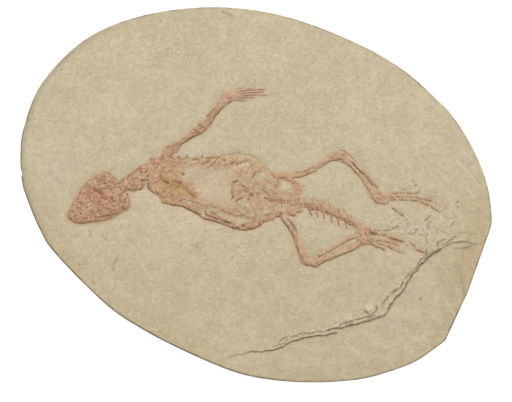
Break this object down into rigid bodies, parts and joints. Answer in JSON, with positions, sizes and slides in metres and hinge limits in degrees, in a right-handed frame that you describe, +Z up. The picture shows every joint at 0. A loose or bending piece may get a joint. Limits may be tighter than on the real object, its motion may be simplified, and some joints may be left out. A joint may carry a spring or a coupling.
{
  "type": "fossil reptile skeleton on a limestone plate",
  "caption": "Flat oval limestone plate with a straight broken edge, a stepped bedding ledge and the raised skeleton of a small lizard-like reptile on its upper face.",
  "frame": {"origin": "centre of the plate's outline on its flat underside", "axes": "+Z up out of the face with the skeleton, +X along the plate's length from the head towards the tail, +Y towards the animal's right side"},
  "size_m": [0.1891, 0.1508, 0.0137],
  "materials": {
    "limestone": "matte, fine-grained, slightly mottled",
    "fossil_bone": "satin, crumbled, with dark crevices"
  },
  "bodies": {
    "root": {"limestone_plate": "limestone", "skull": "fossil_bone", "neck_vertebrae": "fossil_bone", "shoulder_girdle": "fossil_bone", "right_humerus": "fossil_bone", "right_radius": "fossil_bone", "right_ulna": "fossil_bone", "right_hand": "fossil_bone", "left_humerus": "fossil_bone", "left_radius": "fossil_bone", "left_ulna": "fossil_bone", "left_hand": "fossil_bone", "rib_cage": "fossil_bone", "pelvis": "fossil_bone", "right_femur": "fossil_bone", "right_tibia": "fossil_bone", "right_fibula": "fossil_bone", "right_foot": "fossil_bone", "left_femur": "fossil_bone", "left_tibia": "fossil_bone", "left_fibula": "fossil_bone", "left_foot": "fossil_bone", "tail_base_vertebrae": "fossil_bone", "tail_end_vertebrae": "fossil_bone"}
  },
  "joints": []
}
